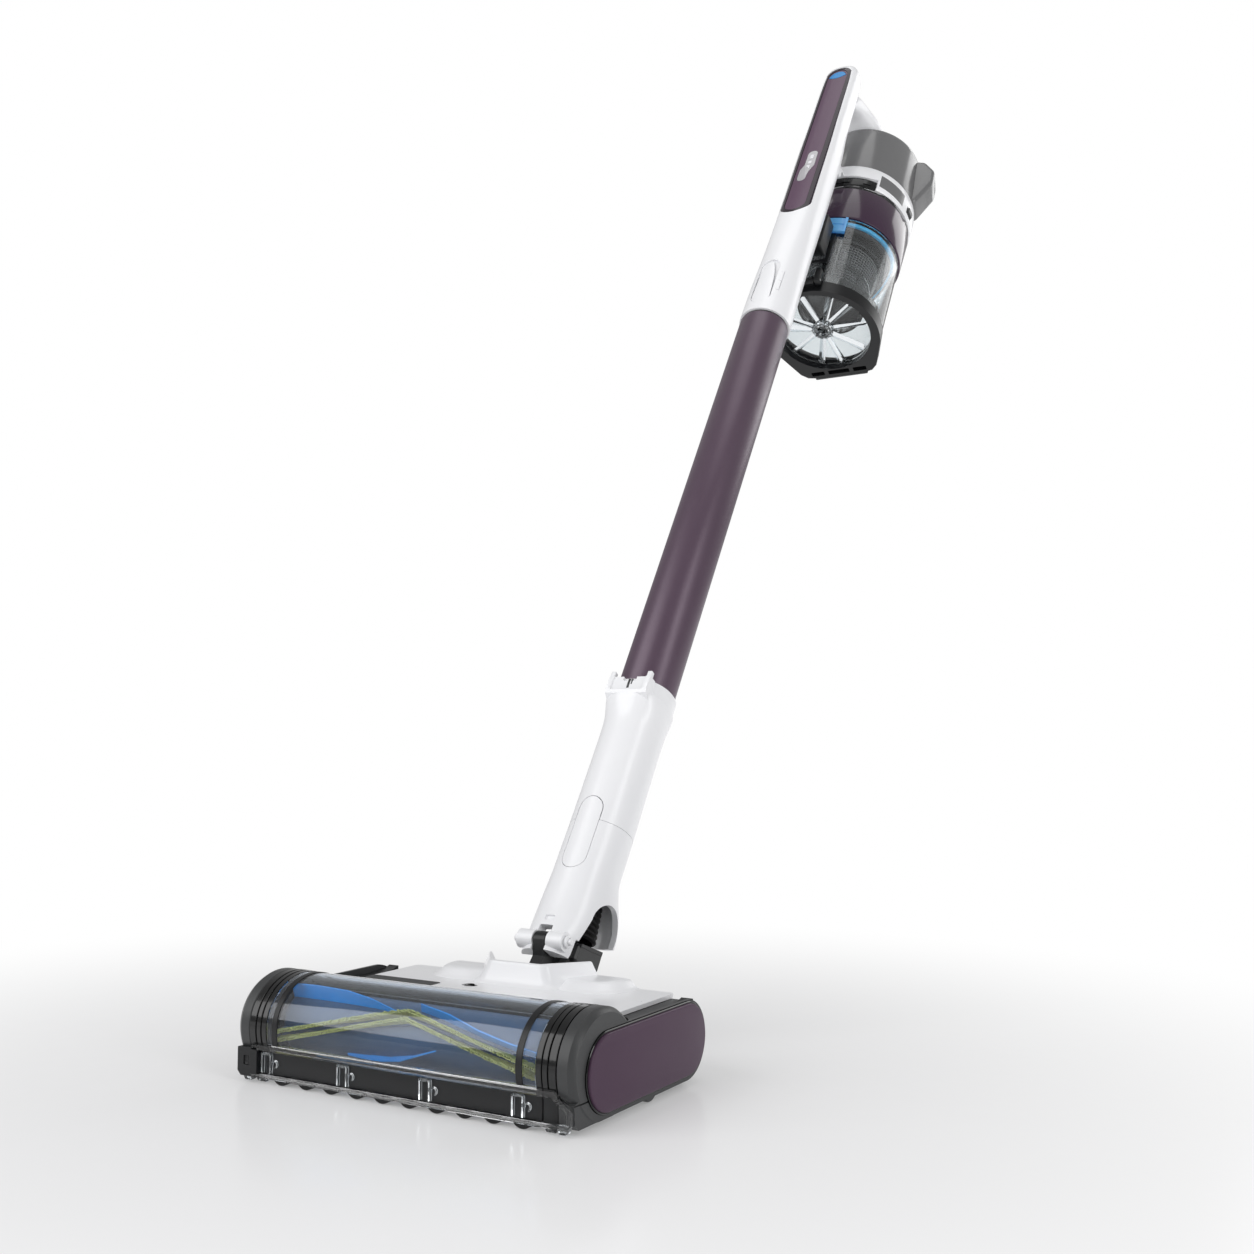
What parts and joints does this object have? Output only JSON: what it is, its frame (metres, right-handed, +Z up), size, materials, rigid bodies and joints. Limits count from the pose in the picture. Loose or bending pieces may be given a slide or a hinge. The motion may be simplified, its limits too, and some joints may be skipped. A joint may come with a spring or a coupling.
{
  "type": "cordless stick vacuum",
  "caption": "Cordless stick vacuum with a hand unit, clear dust cup, detachable wand and a swivelling floor head with a driven brush roll.",
  "frame": {"origin": "centre of the bounding box, on the floor under it", "axes": "+Z up, -Y the way the floor head points, +X the head's right end cap; the wand leans back towards +Y"},
  "size_m": [0.266, 0.8824, 0.9658],
  "materials": {
    "white": "gloss",
    "plum": "satin",
    "plum_panel": "gloss",
    "black": "satin",
    "dark_grey": "satin",
    "grey": "gloss",
    "clear": "gloss",
    "smoke": "gloss",
    "blue": "gloss",
    "blue_clear": "gloss",
    "steel": "brushed",
    "rubber": "matte",
    "foam": "matte",
    "slate": "matte",
    "motor_can": "satin"
  },
  "bodies": {
    "hand_vac": {"spine_shell": "white", "front_panel": "plum_panel", "display_lens": "grey", "motor_housing": "white", "motor_cap": "grey", "suction_motor": "motor_can", "exhaust_filter": "foam", "handle_strut": "white"},
    "power_button": {"power_button": "blue"},
    "wand_release": {"wand_release_button": "white"},
    "battery": {"battery_pack": "white"},
    "battery_latch": {"battery_latch": "dark_grey"},
    "cup_release": {"cup_release_button": "grey"},
    "fan": {"suction_fan": "steel"},
    "dust_cup": {"cup_shell": "clear", "cup_collar": "plum", "filter_frame": "black", "pre_motor_filter": "foam", "cyclone_core": "dark_grey", "shroud": "steel"},
    "ejector": {"dirt_ejector": "blue_clear"},
    "cup_door": {"door_frame": "black", "door_window": "clear", "door_hinge_pin": "steel"},
    "door_latch": {"door_latch": "dark_grey"},
    "wand": {"wand_tube": "plum", "wand_plug": "black", "wand_collar": "white"},
    "neck": {"neck_shell": "white", "neck_spigot": "black", "pitch_pin": "white", "flex_hose": "rubber"},
    "neck_release": {"neck_release_button": "white"},
    "yoke": {"swivel_yoke": "black", "air_elbow": "dark_grey"},
    "floor_head": {"head_chassis": "black", "sole_plate": "black", "top_cover": "white", "cover_inlay": "dark_grey", "front_window": "smoke", "window_band": "black", "window_end_left": "black", "window_end_right": "black", "front_bar": "black", "front_bumper": "clear", "end_housing_left": "grey", "end_cap_left": "plum", "end_housing_right": "grey", "end_cap_right": "plum", "brush_motor": "motor_can", "drive_belt": "rubber"},
    "window_latch": {"window_latch": "black"},
    "brush": {"brush_drum": "slate", "brush_sleeve": "blue", "brush_pulley": "black"},
    "pinion": {"motor_pinion": "steel"},
    "wheel_left": {"wheel_left": "dark_grey"},
    "wheel_right": {"wheel_right": "dark_grey"},
    "roller_left": {"front_roller_left": "clear"},
    "roller_right": {"front_roller_right": "clear"}
  },
  "joints": [
    {"name": "power_press", "type": "slide", "parent": "hand_vac", "child": "power_button", "axis": [0, 0.8406, -0.5417], "range_m": [0, 0.0012], "stiffness_N_per_m": 300},
    {"name": "wand_release_press", "type": "slide", "parent": "hand_vac", "child": "wand_release", "axis": [0, 0.8406, -0.5417], "range_m": [0, 0.0018], "stiffness_N_per_m": 300},
    {"name": "battery_pull", "type": "slide", "parent": "hand_vac", "child": "battery", "axis": [0, 0.5417, 0.8406], "range_m": [0, 0.115]},
    {"name": "battery_latch_press", "type": "slide", "parent": "battery", "child": "battery_latch", "axis": [0, -0.8406, 0.5417], "range_m": [0, 0.0012], "stiffness_N_per_m": 300},
    {"name": "cup_release_press", "type": "slide", "parent": "hand_vac", "child": "cup_release", "axis": [-1, 0, 0], "range_m": [0, 0.0018], "stiffness_N_per_m": 300},
    {"name": "fan_spin", "type": "hinge", "parent": "hand_vac", "child": "fan", "pos_m": [0, 0.35874, 0.81466], "axis": [0, 0.5417, 0.8406], "continuous": true},
    {"name": "cup_pull", "type": "slide", "parent": "hand_vac", "child": "dust_cup", "axis": [0, -0.5417, -0.8406], "range_m": [0, 0.05]},
    {"name": "ejector_pull", "type": "slide", "parent": "dust_cup", "child": "ejector", "axis": [0, -0.5417, -0.8406], "range_m": [0, 0.05]},
    {"name": "cup_door_swing", "type": "hinge", "parent": "dust_cup", "child": "cup_door", "pos_m": [0, 0.19859, 0.68707], "axis": [1, 0, 0], "range_deg": [-90, 0]},
    {"name": "door_latch_tilt", "type": "hinge", "parent": "cup_door", "child": "door_latch", "pos_m": [0, 0.30196, 0.61451], "axis": [-1, 0, 0], "range_deg": [0, 12], "stiffness_Nm_per_rad": 0.5},
    {"name": "wand_pull", "type": "slide", "parent": "hand_vac", "child": "wand", "axis": [0, -0.5417, -0.8406], "range_m": [0, 0.045]},
    {"name": "neck_pull", "type": "slide", "parent": "wand", "child": "neck", "axis": [0, -0.5417, -0.8406], "range_m": [0, 0.045]},
    {"name": "neck_release_press", "type": "slide", "parent": "neck", "child": "neck_release", "axis": [0, 0.8406, -0.5417], "range_m": [0, 0.0018], "stiffness_N_per_m": 300},
    {"name": "neck_pitch", "type": "hinge", "parent": "neck", "child": "yoke", "pos_m": [0, -0.27699, 0.0787], "axis": [1, 0, 0], "range_deg": [-32, 40], "deforming": ["flex_hose"]},
    {"name": "head_roll", "type": "hinge", "parent": "yoke", "child": "floor_head", "pos_m": [0, -0.30201, 0.036], "axis": [0, 1, 0], "range_deg": [-25, 25]},
    {"name": "window_latch_slide", "type": "slide", "parent": "floor_head", "child": "window_latch", "axis": [1, 0, 0], "range_m": [0, 0.0028]},
    {"name": "brush_spin", "type": "hinge", "parent": "floor_head", "child": "brush", "pos_m": [0, -0.40501, 0.035], "axis": [1, 0, 0], "continuous": true},
    {"name": "pinion_spin", "type": "hinge", "parent": "floor_head", "child": "pinion", "pos_m": [0, -0.32701, 0.029], "axis": [1, 0, 0], "continuous": true},
    {"name": "wheel_left_spin", "type": "hinge", "parent": "floor_head", "child": "wheel_left", "pos_m": [-0.1, -0.34901, 0.0095], "axis": [1, 0, 0], "continuous": true},
    {"name": "wheel_right_spin", "type": "hinge", "parent": "floor_head", "child": "wheel_right", "pos_m": [0.1, -0.34901, 0.0095], "axis": [1, 0, 0], "continuous": true},
    {"name": "roller_left_spin", "type": "hinge", "parent": "floor_head", "child": "roller_left", "pos_m": [-0.112, -0.43351, 0.0043], "axis": [1, 0, 0], "continuous": true},
    {"name": "roller_right_spin", "type": "hinge", "parent": "floor_head", "child": "roller_right", "pos_m": [0.112, -0.43351, 0.0043], "axis": [1, 0, 0], "continuous": true}
  ],
  "couplings": [
    {"joint": "pinion_spin", "follows": "brush_spin", "ratio": 2}
  ]
}
